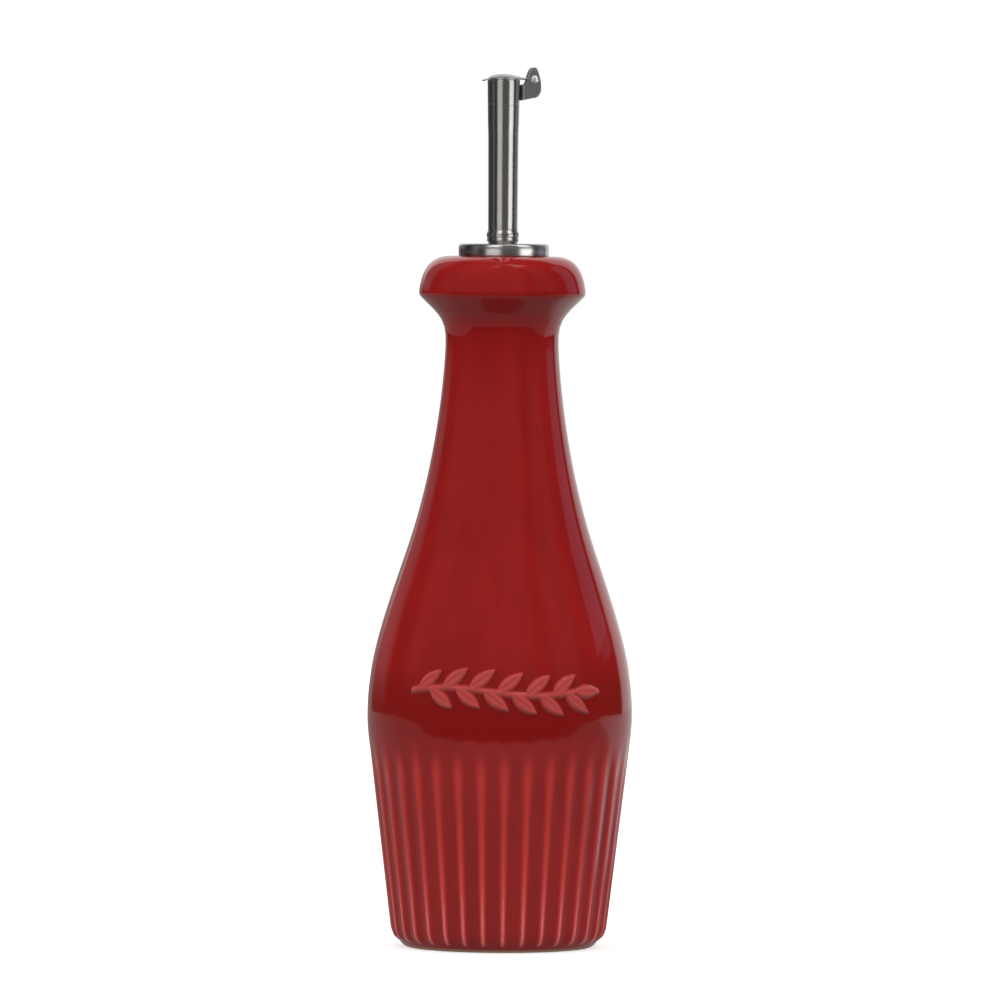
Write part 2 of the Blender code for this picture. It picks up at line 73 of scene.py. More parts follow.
def cubic(start, pull, push, end, steps=40):
    """Points of one cubic curve: each corner times its weight, from start to end."""
    t = np.linspace(0, 1, steps)[:, None]
    corners = [np.array(corner, float) for corner in (start, pull, push, end)]
    weights = ((1 - t) ** 3, 3 * (1 - t) ** 2 * t, 3 * (1 - t) * t ** 2, t ** 3)
    return sum(weight * corner for weight, corner in zip(weights, corners))


def rounded(line, radius, steps=6):
    """A line whose inner corners are cut back by radius and bridged by a curve each."""
    line = [np.array(point, float) for point in line]
    pieces = [line[:1]]
    for before, corner, after in zip(line, line[1:], line[2:]):
        start = corner + (before - corner) * min(radius / np.linalg.norm(before - corner), 0.5)
        end = corner + (after - corner) * min(radius / np.linalg.norm(after - corner), 0.5)
        pieces.append(cubic(start, (start + 2 * corner) / 3, (end + 2 * corner) / 3, end, steps))
    return np.concatenate(pieces + [line[-1:]])


def travelled(line):
    """How far along a line each of its points lies."""
    steps = np.linalg.norm(np.diff(line, axis=0), axis=1)
    return np.concatenate([[0], np.cumsum(steps)])


def respaced(line, spacing):
    """The line again, with points as far apart as spacing says at each of its old points.

    The new points are at equal steps of the sum of (distance over spacing)."""
    line = line[np.concatenate([[True], np.linalg.norm(np.diff(line, axis=0), axis=1) > 1e-6])]
    way = travelled(line)
    gap = spacing(line)
    ticks = np.concatenate([[0], np.cumsum(np.diff(way) * 2 / (gap[1:] + gap[:-1]))])
    steps = np.linspace(0, ticks[-1], int(ticks[-1]) + 2)
    return np.stack([np.interp(steps, ticks, line[:, axis]) for axis in (0, 1)], axis=1)


# The outline, as (radius, height): foot, straight flank, belly, shoulder, neck and rim.
flank_foot, flank_head = (29.2, 5.6), (35.2, 55.5)
belly = (35.68, 62.5)
shoulder_bend, shoulder_lean = (24.97, 108.0), 0.333
waist = (15.2, 163.3)
lip_under, lip_over = (22.0, 175.15), (22.35, 177.3)
rim_top, mouth_radius = 186.05, 9.5
foot_rise, floor_height, inside_wall = 2.2, 7.0, 4.5

toe = cubic((25.35, 0.05), (26.4, 0.1), (28.75, 2.8), flank_foot)
foot_corners = [(0.0, foot_rise), (17.7, foot_rise), (19.4, 0.1), (25.2, 0.0), (26.2, 0.4)]
underside = rounded(foot_corners, 0.6)[:-1]
swell = cubic(flank_head, (35.48, 58.0), (belly[0], 60.0), belly)
lower_pull = (shoulder_bend[0] + shoulder_lean * 17.8, shoulder_bend[1] - 17.8)
upper_pull = (shoulder_bend[0] - shoulder_lean * 24.7, shoulder_bend[1] + 24.7)
lower_shoulder = cubic(belly, (belly[0], belly[1] + 15.6), lower_pull, shoulder_bend)
upper_shoulder = cubic(shoulder_bend, upper_pull, (waist[0], waist[1] - 5.0), waist)
flare = cubic(waist, (waist[0], waist[1] + 6.1), (17.4, 170.5), lip_under)
crease = cubic(lip_under, (22.4, 175.55), (22.52, 176.2), lip_over, 14)
rim = cubic(lip_over, (21.65, 181.4), (20.2, rim_top), (14.0, rim_top))
outside = np.concatenate([toe, swell, lower_shoulder, upper_shoulder, flare, crease, rim])

inner_belly = belly[0] - inside_wall
mouth = cubic((11.1, rim_top), (10.2, rim_top), (mouth_radius, 185.4), (mouth_radius, 184.6), 10)
bore = np.array([(mouth_radius, 184.4), (mouth_radius, 158.0)])
hollow = cubic(bore[-1], (mouth_radius, 112.0), (inner_belly, 92.0), (inner_belly, belly[1]))
floor_round = cubic((25.3, 13.0), (24.8, 9.0), (22.5, floor_height), (19.0, floor_height), 12)
inside = np.concatenate([mouth, bore, hollow, floor_round, [(0.0, floor_height)]])


def outer_spacing(line):
    """Wide steps where the outline is plain, fine ones at the foot, the sprig and the rim."""
    heights = [0.0, 1.6, 4.4, 6.5, 40, 61, 62, 78.6, 80, 100, 155, 170, 174.5, 175.6, 177.6, 179, 186]
    steps = [0.5, 0.36, 0.36, 2.5, 2.5, 1.3, 0.35, 0.35, 1.7, 3.4, 3.4, 1.9, 1.2, 0.28, 0.28, 0.9, 0.9]
    return np.interp(line[:, 1], heights, steps)


def inner_spacing(line):
    """Fine steps round the mouth and long ones in the room below it."""
    return np.interp(line[:, 1], [7, 14, 60, 180, 184, 186], [6, 5, 12, 10, 0.7, 0.6])


def under_spacing(line):
    """Long steps in the foot's hollow, short ones round the ring that it stands on."""
    return np.interp(line[:, 0], [0, 16, 17, 26], [9, 4, 0.6, 0.6])


under_line = respaced(underside, under_spacing)
outer_line = respaced(outside, outer_spacing)
inner_line = respaced(inside, inner_spacing)
bottle_line = np.concatenate([under_line[1:], outer_line, inner_line[:-1]])
outer_rows = slice(0, len(under_line) - 1 + len(outer_line))

flutes, flute_depth = 34, 0.65
first_ridge = math.radians(2.3)
flutes_full, flutes_gone = 43.0, 57.5
sprig_from, sprig_to = math.radians(-42), math.radians(35)
columns_at_sprig, columns_elsewhere = 22, 11


def columns_round_bottle():
    """Directions round the axis, packed closer near each ridge: sign times (twice the
    distance from the ridge, in pitches) to the power 1.3. Flutes under the sprig get more."""
    turns = []
    sprig_middle, sprig_half = (sprig_from + sprig_to) / 2, 0.75
    for flute in range(flutes):
        middle = (flute + 0.5) * math.tau / flutes - math.pi
        count = columns_at_sprig if abs(middle - sprig_middle) < sprig_half else columns_elsewhere
        across = (np.arange(count) + 0.5) / count * 2 - 1
        packed = np.sign(across) * np.abs(across) ** 1.3 / 2
        turns.append((flute + 0.5 + packed) * math.tau / flutes)
    return np.concatenate(turns) - math.pi + first_ridge - math.pi / flutes


turn = columns_round_bottle()
reach = np.repeat(bottle_line[:, :1], len(turn), axis=1)
level = np.repeat(bottle_line[:, 1:], len(turn), axis=1)
round_about = np.repeat(turn[None, :], len(bottle_line), axis=0)
on_outside = np.zeros_like(reach)
on_outside[outer_rows] = 1.0
on_outside *= np.clip((reach - 20.5) / 2.0, 0, 1) * (level < 60) + (level >= 60)


def eased(value):
    """0 below 0, 1 above 1, and a smooth step between."""
    value = np.clip(value, 0, 1)
    return value * value * (3 - 2 * value)


def ridge_height(azimuth, height):
    """Height of the ridges over the bottoms of the channels, from 0 to 1, and s.

    With s the distance from the ridge as a share of half a pitch, it is (1 - s) squared,
    the crest rounded by taking the root of (s squared plus a small square) less its root.
    The ridges end in a quick step above the foot, and are blunter the higher they run."""
    pitch = (azimuth - first_ridge) * flutes / math.tau
    share = 2 * np.abs(pitch - np.round(pitch))
    crest = np.interp(height, [4, 50], [0.10, 0.34])
    blunt = np.sqrt(share ** 2 + crest ** 2) - crest
    return np.clip(1 - blunt, 0, 1) ** 2 * eased((height - 1.5) / 1.6), share


leaf_length, leaf_width = 8.6, 4.0
sprig_height, sprig_wave, sprig_relief = 70.4, 1.0, 0.95
leaf_tilt, leaf_pairs = math.radians(38), 6
midrib_depth, midrib_half = 0.34, 0.34
stem_half = 1.15


def stem_height(azimuth):
    """Height of the stem: one slow sine along the belly."""
    return sprig_height + sprig_wave * np.sin(math.tau * (azimuth - sprig_from) / (sprig_to - sprig_from))


def leaf(along, across):
    """A leaf as a low cushion: 1 less the square of (distance from the midrib over the
    half width), where the half width is a sine of the way along; a groove for the midrib."""
    way = np.clip(along / leaf_length, 0, 1)
    half_width = leaf_width / 2 * np.sin(math.pi * way ** 0.85) ** 0.8 + 1e-6
    mound = np.clip(1 - (across / half_width) ** 2, 0, 1)
    swell_up = eased(mound * 1.15)
    groove = midrib_depth * np.exp(-(across / midrib_half) ** 2)
    groove = groove * eased((0.9 - way) * 4) * eased(way * 6)
    return swell_up * (1 - groove) * (along > 0) * (along < leaf_length)


def sprig(azimuth, height, radius):
    """Relief of the stem and its leaves from 0 to 1: the greatest of all their mounds, each
    drawn on the wall unrolled flat (arc length across, height up)."""
    arc = azimuth * radius
    ends = eased((azimuth - sprig_from) / 0.02) * eased((sprig_to - azimuth) / 0.02)
    relief = eased((stem_half - np.abs(height - stem_height(azimuth))) / 1.1) * ends * 0.9
    spacing = (sprig_to - sprig_from) / (leaf_pairs + 0.3)
    starts = [sprig_from + spacing * (pair + 0.35) for pair in range(leaf_pairs)]
    leaves = [(start, leaf_tilt) for start in starts]
    leaves += [(start + spacing / 2, -leaf_tilt) for start in starts]
    leaves.append((sprig_to - math.radians(1), 0.0))
    for start, lift in leaves:
        sideways = arc - start * radius
        upward = height - stem_height(start)
        along = sideways * math.cos(lift) + upward * math.sin(lift)
        across = upward * math.cos(lift) - sideways * math.sin(lift)
        relief = np.maximum(relief, leaf(along, across))
    return relief


ridge, ridge_share = ridge_height(round_about, level)
fluted = 1 - eased((level - flutes_full) / (flutes_gone - flutes_full))
near_sprig = (np.abs(level - sprig_height) < 9) * (on_outside > 0)
relief = sprig(round_about, level, reach) * near_sprig
depth = flute_depth * (1 - ridge) * fluted * on_outside
radius = reach - depth + sprig_relief * relief

# Where the glaze ran thin: a narrow line along each ridge, widening and fading upwards, which
# also carries a painted highlight, and the sprig with its edges. The ring that the bottle
# stands on was wiped to the bare clay.
crest_half = np.interp(level, [9, 20, 36, 50], [0.225, 0.285, 0.34, 0.53])
crest_line = np.exp(-(ridge_share / crest_half) ** 2)
crest_line *= eased((level - 1.4) / 1.0) * eased((58.0 - level) / 11.0)
crest_line *= np.interp(level, [2, 9, 20, 36, 50], [1.05, 1.0, 0.68, 0.42, 0.40])
relief_edge = relief * (1 - relief) * 4
thin_glaze = np.clip(crest_line * on_outside, 0, 1)
raised_glaze = np.clip(relief ** 0.7 + 0.2 * relief_edge, 0, 1)
bare_clay = eased((0.95 - level) / 0.5) * (reach > 18.6) * (reach < 28)


def skin(name, points, ring=False, bottom=None, top=None):
    """A mesh over a grid of points (rows, columns, xyz) in millimetres, columns closed.

    Quads join each point to its neighbours in the next row and column, with the last
    column joined to the first. ring also joins the last row to the first. bottom and top
    close the first and the last row by a fan to one point."""
    rows, columns = points.shape[:2]
    index = np.arange(rows * columns).reshape(rows, columns)
    after = np.roll(index, -1, axis=1)
    low, high = (index, np.roll(index, -1, axis=0)) if ring else (index[:-1], index[1:])
    low_after, high_after = (after, np.roll(after, -1, axis=0)) if ring else (after[:-1], after[1:])
    quads = np.stack([low, low_after, high_after, high], axis=-1).reshape(-1, 4)
    places = points.reshape(-1, 3)
    corners, sizes = [quads.ravel()], [np.full(len(quads), 4)]
    if bottom is not None:
        places = np.concatenate([places, [bottom]])
        fan = np.stack([after[0], index[0], np.full(columns, len(places) - 1)], axis=-1)
        corners.append(fan.ravel())
        sizes.append(np.full(columns, 3))
    if top is not None:
        places = np.concatenate([places, [top]])
        fan = np.stack([index[-1], after[-1], np.full(columns, len(places) - 1)], axis=-1)
        corners.append(fan.ravel())
        sizes.append(np.full(columns, 3))
    corners, sizes = np.concatenate(corners), np.concatenate(sizes)
    mesh = bpy.data.meshes.new(name)
    mesh.vertices.add(len(places))
    mesh.vertices.foreach_set("co", (places * mm).ravel())
    mesh.loops.add(len(corners))
    mesh.loops.foreach_set("vertex_index", corners)
    mesh.polygons.add(len(sizes))
    mesh.polygons.foreach_set("loop_start", np.concatenate([[0], np.cumsum(sizes)[:-1]]))
    mesh.polygons.foreach_set("use_smooth", np.ones(len(sizes), bool))
    mesh.update(calc_edges=True)
    mesh.validate()
    piece = bpy.data.objects.new(name, mesh)
    bpy.context.scene.collection.objects.link(piece)
    return piece


def round_axis(radius, height, azimuth):
    """Points at a radius and height in a direction: azimuth 0 is -Y and grows towards +X."""
    return np.stack([radius * np.sin(azimuth), -radius * np.cos(azimuth), height], axis=-1)


bottle = skin("glazed_bottle", round_axis(radius, level, round_about),
              bottom=(0, 0, foot_rise), top=(0, 0, floor_height))


def vertex_mask(piece, name, values):
    """Keeps a number from 0 to 1 at each point of a piece, for its material to read."""
    padded = np.zeros(len(piece.data.vertices), np.float32)
    padded[:values.size] = values.ravel()
    piece.data.attributes.new(name, "FLOAT", "POINT").data.foreach_set("value", padded)


vertex_mask(bottle, "thin_glaze", thin_glaze)
vertex_mask(bottle, "raised_glaze", raised_glaze)
vertex_mask(bottle, "bare_clay", bare_clay)


class Wire:
    """One output socket of a material's nodes. Sums of wires and numbers add Math nodes."""

    def __init__(self, tree, socket):
        self.tree = tree
        self.socket = socket

    def plug(self, target, value):
        """Links a wire to the socket, or sets a number or a colour on it."""
        if isinstance(value, Wire):
            self.tree.links.new(value.socket, target)
        elif isinstance(value, tuple) and len(value) == 3 and target.type == "RGBA":
            target.default_value = (*value, 1.0)
        else:
            target.default_value = value

    def node(self, kind, settings=None, sockets=None, output=0):
        """Any other node: its type, its settings, and the values or links of its sockets."""
        made = self.tree.nodes.new(kind)
        for name, value in (settings or {}).items():
            if name == "stops":
                first, last = made.color_ramp.elements
                first.position, first.color = value[0][0], (*value[0][1], 1)
                last.position, last.color = value[-1][0], (*value[-1][1], 1)
                for place, color in value[1:-1]:
                    made.color_ramp.elements.new(place).color = (*color, 1)
            else:
                setattr(made, name, value)
        for name, value in (sockets or {}).items():
            self.plug(made.inputs[name], value)
        return Wire(self.tree, made.outputs[output])

    def maths(self, operation, first, second):
        """A Math node on two wires or numbers."""
        return self.node("ShaderNodeMath", {"operation": operation}, {0: first, 1: second})

    def __add__(self, other):
        return self.maths("ADD", self, other)

    def __sub__(self, other):
        return self.maths("SUBTRACT", self, other)

    def __mul__(self, other):
        return self.maths("MULTIPLY", self, other)

    def __radd__(self, other):
        return self.maths("ADD", other, self)

    def __rsub__(self, other):
        return self.maths("SUBTRACT", other, self)

    def __rmul__(self, other):
        return self.maths("MULTIPLY", other, self)

    def eased(self, low, high):
        """0 below low, 1 above high, smooth between; low may be the greater of the two."""
        return self.node("ShaderNodeMapRange", {"interpolation_type": "SMOOTHSTEP"},
                         {"Value": self, "From Min": low, "From Max": high})

    def mixed(self, first, second):
        """The first colour where this wire is 0 and the second where it is 1."""
        return self.node("ShaderNodeMix", {"data_type": "RGBA"}, {0: self, 6: first, 7: second}, 2)


def new_material(name):
    """A new material: its start wire, from which nodes are made, and its shader."""
    material = bpy.data.materials.new(name)
    material.use_nodes = True
    shader = material.node_tree.nodes["Principled BSDF"]
    return material, Wire(material.node_tree, None), shader


glaze, start, shader = new_material("red_glaze")
place = start.node("ShaderNodeTexCoord", output="Object")
thin_and_highlight = start.node("ShaderNodeAttribute", {"attribute_name": "thin_glaze"}, output="Fac")
raised = start.node("ShaderNodeAttribute", {"attribute_name": "raised_glaze"}, output="Fac")
bare = start.node("ShaderNodeAttribute", {"attribute_name": "bare_clay"}, output="Fac")
cloud = start.node("ShaderNodeTexNoise", {}, {"Vector": place, "Scale": 38.0, "Detail": 3.0})
drawn = start.node("ShaderNodeMapping", {}, {"Vector": place, "Scale": (150, 150, 9)})
streak = start.node("ShaderNodeTexNoise", {}, {"Vector": drawn, "Scale": 1.0, "Detail": 3.0})
speck = start.node("ShaderNodeTexNoise", {}, {"Vector": place, "Scale": 900.0, "Detail": 2.0})
deep_red, full_red = (0.372, 0.0133, 0.0123), (0.430, 0.0152, 0.0142)
# The first red on the next line is painted shade, used for the dark bands below; the second is the glaze
# thinned on the sprig.
shaded_red, sprig_red = (0.325, 0.0120, 0.0105), (0.69, 0.092, 0.084)
dark_clay, pale_clay = (0.42, 0.27, 0.15), (0.62, 0.45, 0.29)
clay = speck.mixed(dark_clay, pale_clay)
red = (cloud * 0.5 + streak * 0.5).eased(0.40, 0.60).mixed(deep_red, full_red)
up = start.node("ShaderNodeSeparateXYZ", {}, {"Vector": place}, "Z")
# Painted shade: darker red in a band round the belly, from 55.5 to 79 mm, and in a band under the rim's
# overhang, from 166 to 176.5 mm.
painted_shade = up.eased(0.0555, 0.0595) * up.eased(0.079, 0.068)
painted_shade = painted_shade * 0.85 + up.eased(0.166, 0.171) * up.eased(0.1765, 0.173) * 0.6
red = painted_shade.mixed(red, shaded_red)
# The ridge colours: the glaze thinned on the crests, partly real and partly a painted highlight.
thinned_and_highlit = start.node("ShaderNodeValToRGB", {"stops": [
    (0.0, (0.60, 0.030, 0.027)), (0.5, (0.73, 0.048, 0.043)), (0.75, (0.88, 0.095, 0.085)),
    (1.0, (1.0, 0.250, 0.225))]}, {"Fac": thin_and_highlight + (speck - 0.5) * thin_and_highlight * 0.25})
color = thin_and_highlight.eased(0.0, 0.44).mixed(red, thinned_and_highlit)
color = (raised - (speck - 0.5) * raised * 0.3).mixed(color, sprig_red)
start.plug(shader.inputs["Base Color"], bare.mixed(color, clay))
start.plug(shader.inputs["Roughness"], 0.075 + bare * 0.7)
ripple = start.node("ShaderNodeTexNoise", {}, {"Vector": place, "Scale": 210.0, "Detail": 1.0})
height = (ripple + streak * 0.5) * (1 - bare) + speck * bare * 6
bump = start.node("ShaderNodeBump", {}, {"Height": height, "Strength": 0.10, "Distance": 0.12 * mm})
start.plug(shader.inputs["Normal"], bump)
bottle.data.materials.append(glaze)
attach(bottle, "cruet")
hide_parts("bottle")


# ================================================================ stopper
# A ribbed rubber plug, pushed into the neck, whose flange lies on the mouth under the
# collar. It holds the tube. Only the flange's edge shows.

rubber, start, shader = new_material("dark_rubber")
place = start.node("ShaderNodeTexCoord", output="Object")
grain = start.node("ShaderNodeTexNoise", {}, {"Vector": place, "Scale": 1400.0, "Detail": 2.0})
rubber_black, rubber_worn = (0.016, 0.015, 0.014), (0.032, 0.030, 0.028)
start.plug(shader.inputs["Base Color"], grain.mixed(rubber_black, rubber_worn))
start.plug(shader.inputs["Roughness"], 0.50 + grain * 0.15)
bump = start.node("ShaderNodeBump", {}, {"Height": grain, "Strength": 0.2, "Distance": 0.04 * mm})
start.plug(shader.inputs["Normal"], bump)
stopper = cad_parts["stopper"]
stopper.data.materials.clear()
stopper.data.materials.append(rubber)


# ================================================================ collar
# A shallow cap of polished stainless steel over the stopper's flange, drawn from sheet,
# with a rounded shoulder and a short skirt.

def turned(name, line, steps, spacing, aside=0.0):
    """A body of revolution: the line of (radius, height) carried round the axis, and the
    whole set aside along X."""
    line = respaced(np.array(line), spacing)
    azimuth = np.arange(steps) * math.tau / steps
    points = round_axis(line[:, :1] + 0 * azimuth, line[:, 1:] + 0 * azimuth,
                        azimuth + 0 * line[:, :1])
    return skin(name, points + (aside, 0, 0), ring=True)


def brushed_steel(name, roughness, stretch, scratch, tone=(0.62, 0.60, 0.585)):
    """Bright steel with fine lines round the axis: noise squeezed along Z, as a bump.

    stretch is how much the polish spreads reflections along the axis."""
    material, start, shader = new_material(name)
    place = start.node("ShaderNodeTexCoord", output="Object")
    squeezed = start.node("ShaderNodeMapping", {}, {"Vector": place, "Scale": (60, 60, 9000)})
    lines = start.node("ShaderNodeTexNoise", {}, {"Vector": squeezed, "Scale": 1.0, "Detail": 3.0})
    cloud = start.node("ShaderNodeTexNoise", {}, {"Vector": place, "Scale": 260.0, "Detail": 2.0})
    darker = tuple(0.9 * part for part in tone)
    start.plug(shader.inputs["Base Color"], cloud.mixed(darker, tone))
    start.plug(shader.inputs["Metallic"], 1.0)
    start.plug(shader.inputs["Roughness"], roughness + (cloud - 0.5) * 0.05)
    start.plug(shader.inputs["Anisotropic"], stretch)
    start.plug(shader.inputs["Anisotropic Rotation"], 0.25)
    bump = start.node("ShaderNodeBump", {},
                      {"Height": lines, "Strength": scratch, "Distance": 0.01 * mm})
    start.plug(shader.inputs["Normal"], bump)
    return material


collar_roof, collar_under, collar_foot = 189.4, 188.6, 186.1
collar_hole, collar_reach, collar_aside = 3.8, 12.2, 0.3
collar_outside = rounded([(collar_hole, collar_roof), (collar_reach - 0.25, collar_roof),
                          (collar_reach, 188.2), (collar_reach - 0.1, collar_foot)], 0.75, 8)
collar_edge = rounded([(collar_reach - 0.1, collar_foot), (collar_reach - 0.6, collar_foot),
                       (collar_reach - 0.7, collar_under), (collar_hole, collar_under)], 0.28, 5)[1:]
collar_line = np.concatenate([collar_outside, collar_edge])


def collar_spacing(line):
    """Fine steps at the shoulder and the skirt, long ones on the flat top."""
    return np.interp(line[:, 0], [4, 10, 11.2, 12], [1.5, 1.2, 0.16, 0.16])


collar = turned("steel_collar", collar_line[::-1], 160, collar_spacing, collar_aside)
collar_steel = brushed_steel("collar_steel", 0.26, 0.3, 0.15)
collar.data.materials.append(collar_steel)
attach(collar, "cruet")
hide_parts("collar")


# ================================================================ spout
# A straight tube of drawn stainless steel, brushed round, pushed through the collar and the
# stopper. A bead and a narrow ring lie where it leaves the collar.

tube_bore, tube_top, tube_foot = 3.4, 233.45, 164.0
tube_line = np.concatenate([
    [(tube_bore, tube_top)],
    cubic((4.2, tube_top), (4.32, tube_top), (4.38, 233.4), (4.38, 233.3), 6),
    cubic((4.29, 227.1), (4.29, 226.95), (4.255, 227.0), (4.255, 226.9), 6),
    cubic((4.255, 226.9), (4.255, 226.8), (4.28, 226.85), (4.28, 226.7), 6),
    cubic((4.2, 221.5), (4.19, 220.5), (4.11, 220.5), (4.1, 219.5), 12),
    [(4.03, 208.0), (3.97, 196.0)],
    cubic((3.96, 193.7), (3.96, 193.2), (4.0, 192.95), (4.12, 192.7), 6),
    cubic((4.12, 192.7), (4.42, 192.15), (4.44, 191.5), (4.22, 191.1), 9),
    cubic((4.22, 191.1), (4.13, 190.97), (4.13, 190.9), (4.22, 190.8), 5),
    cubic((4.22, 190.8), (4.36, 190.6), (4.36, 190.3), (4.2, 190.1), 6),
    cubic((4.2, 190.1), (4.05, 189.9), (3.9, 189.65), (3.86, 189.42), 6),
    [(3.86, tube_foot), (tube_bore, tube_foot)],
])


def tube_spacing(line):
    """Fine steps at the ring, the bead, the seam and the mouth, long ones between."""
    heights = [164, 188, 189, 194, 196, 225, 226.6, 227.2, 228.5, 232, 233]
    steps = [4, 2, 0.12, 0.16, 1.6, 1.6, 0.08, 0.08, 1.6, 0.8, 0.08]
    return np.interp(line[:, 1], heights, steps)


spout = turned("steel_tube", tube_line[::-1], 120, tube_spacing)
tube_steel = brushed_steel("tube_steel", 0.26, 0.7, 0.2, (0.53, 0.515, 0.50))
spout.data.materials.append(tube_steel)
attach(spout, "cruet")
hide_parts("spout")


# ================================================================ hinge bracket
# A strip of polished steel sheet, folded into a V that is welded to the tube along its
# fold. Its two cheeks run side by side and rise into round-tipped ears for the rivet.

pourer_turn = math.radians(11)
sheet, web_face = 0.5, 4.28
pin_reach, pin_height = 8.05, 233.65
ear_end, ear_tip = 9.86, (8.08, 236.9)
bracket_half, bracket_bend = 2.0, 5.25


def pourer_place(points):
    """Turns points (reach along the hinge arm, side, height) to the pourer's direction."""
    along, side, height = np.moveaxis(points, -1, 0)
    east = along * math.cos(pourer_turn) - side * math.sin(pourer_turn)
    north = along * math.sin(pourer_turn) + side * math.cos(pourer_turn)
    return np.stack([east, north, height], axis=-1)


heel_line = np.concatenate([
    [(web_face, 227.9), (7.9, 228.66)],
    cubic((8.2, 228.7), (9.3, 228.9), (ear_end, 229.8), (ear_end, 231.1), 24)])
ear_line = np.concatenate([
    [(web_face, 232.2)],
    cubic((5.1, 232.2), (5.85, 232.25), (6.1, 232.9), (6.3, 233.9), 14),
    cubic((6.3, 233.9), (6.65, 235.3), (7.2, ear_tip[1]), ear_tip, 14),
    cubic(ear_tip, (8.85, ear_tip[1]), (9.15, 235.6), (9.42, 234.6), 14),
    cubic((9.42, 234.6), (9.72, 233.6), (ear_end, 232.8), (ear_end, 231.8), 14)])


def bracket_grid():
    """The sheet's middle surface: a path goes in along one cheek, slants to the fold at the
    tube and out again, and at each of its points a line runs from lower to upper edge."""
    end = ear_end - 0.004
    middle, bend = bracket_half - sheet / 2, bracket_bend
    reach = end - (end - bend - 0.2) * np.linspace(0, 1, 38) ** 1.5
    fold = rounded([(bend + 0.15, middle), (bend, middle), (web_face + sheet / 2, 0.0),
                    (bend, -middle), (bend + 0.15, -middle)], 0.12, 5)
    along = np.concatenate([reach, fold[:, 0], reach[::-1]])
    side = np.concatenate([0 * reach + middle, fold[:, 1], 0 * reach - middle])
    low = np.interp(along, heel_line[:, 0], heel_line[:, 1])
    high = np.interp(along, ear_line[:, 0], ear_line[:, 1])
    share = np.linspace(0, 1, 7)[:, None]
    height = low + (high - low) * share
    return np.stack([along + 0 * height, side + 0 * height, height], axis=-1)


def strip(name, points):
    """An open sheet over a grid of points, for a Solidify modifier to thicken."""
    rows, columns = points.shape[:2]
    index = np.arange(rows * columns).reshape(rows, columns)
    quads = np.stack([index[:-1, :-1], index[:-1, 1:], index[1:, 1:], index[1:, :-1]], axis=-1)
    mesh = bpy.data.meshes.new(name)
    mesh.from_pydata((points.reshape(-1, 3) * mm).tolist(), [], quads.reshape(-1, 4).tolist())
    mesh.shade_smooth()
    piece = bpy.data.objects.new(name, mesh)
    bpy.context.scene.collection.objects.link(piece)
    return piece


bracket = strip("hinge_sheet", pourer_place(bracket_grid()))
wall = bracket.modifiers.new("sheet", "SOLIDIFY")
wall.thickness = sheet * mm
wall.offset = 0
wall.use_even_offset = True
edges = bracket.modifiers.new("edges", "BEVEL")
edges.width = 0.12 * mm
edges.segments = 2
edges.limit_method = "ANGLE"
edges.angle_limit = math.radians(50)
# Painted shade: near the tube, where the tube shades it, the sheet is darker and less metallic.
clean_sheet, shaded_sheet = (0.58, 0.57, 0.57), (0.46, 0.44, 0.42)
bracket_steel = brushed_steel("bracket_steel", 0.30, 0.0, 0.1, clean_sheet)
start = Wire(bracket_steel.node_tree, None)
place = start.node("ShaderNodeTexCoord", output="Object")
flat_place = start.node("ShaderNodeVectorMath", {"operation": "MULTIPLY"}, {0: place, 1: (1, 1, 0)})
from_axis = start.node("ShaderNodeVectorMath", {"operation": "LENGTH"}, {0: flat_place}, "Value")
# The painted shade: 1 within 5 mm of the tube's axis, fading to 0 at 6.3 mm.
tube_shade = from_axis.eased(6.3 * mm, 5.0 * mm)
shader = bracket_steel.node_tree.nodes["Principled BSDF"]
start.plug(shader.inputs["Base Color"], tube_shade.mixed(clean_sheet, shaded_sheet))
start.plug(shader.inputs["Metallic"], 1 - tube_shade * 0.17)
bracket.data.materials.append(bracket_steel)
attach(bracket, "cruet")
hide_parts("hinge_bracket")


# ================================================================ hinge pin
# A steel rivet through both ears, its ends hammered into low domed heads.

pin_radius, head_radius = 0.6, 1.15
head_face, head_height = 2.0, 0.72
half_pin = np.concatenate([
    [(0.01, head_face + head_height)],
    cubic((0.1, head_face + 0.715), (0.62, head_face + 0.66), (1.06, head_face + 0.42),
          (head_radius, head_face + 0.02), 12),
    [(pin_radius, head_face + 0.0)]])
pin_line = np.concatenate([half_pin, (half_pin * (1, -1))[::-1]])
way_round = np.arange(40) * math.tau / 40
pin_points = np.stack([
    pin_reach + pin_line[:, :1] * np.cos(way_round),
    -pin_line[:, 1:] + 0 * way_round,
    pin_height + pin_line[:, :1] * np.sin(way_round)], axis=-1)
ends = pourer_place(np.array([(pin_reach, -head_face - head_height, pin_height),
                              (pin_reach, head_face + head_height, pin_height)]))
pin = skin("hinge_rivet", pourer_place(pin_points), bottom=ends[0], top=ends[1])
rivet_steel = brushed_steel("rivet_steel", 0.40, 0.0, 0.05, (0.88, 0.87, 0.86))
pin.data.materials.append(rivet_steel)
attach(pin, "cruet")
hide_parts("hinge_pin")


# ================================================================ flap
# The lid of the tube, stamped from steel sheet: a hollow dome with a thumb lip on the far
# side and a strap whose end is rolled round the rivet.

flap_under, flap_edge, flap_round = 233.5, 0.36, 4.42
strap_half, strap_end, strap_angle = 1.15, 7.0, 0.42
dome_middle, pressed_through = 1.18, 0.9
lip_reach, lip_droop = 1.45, 0.38


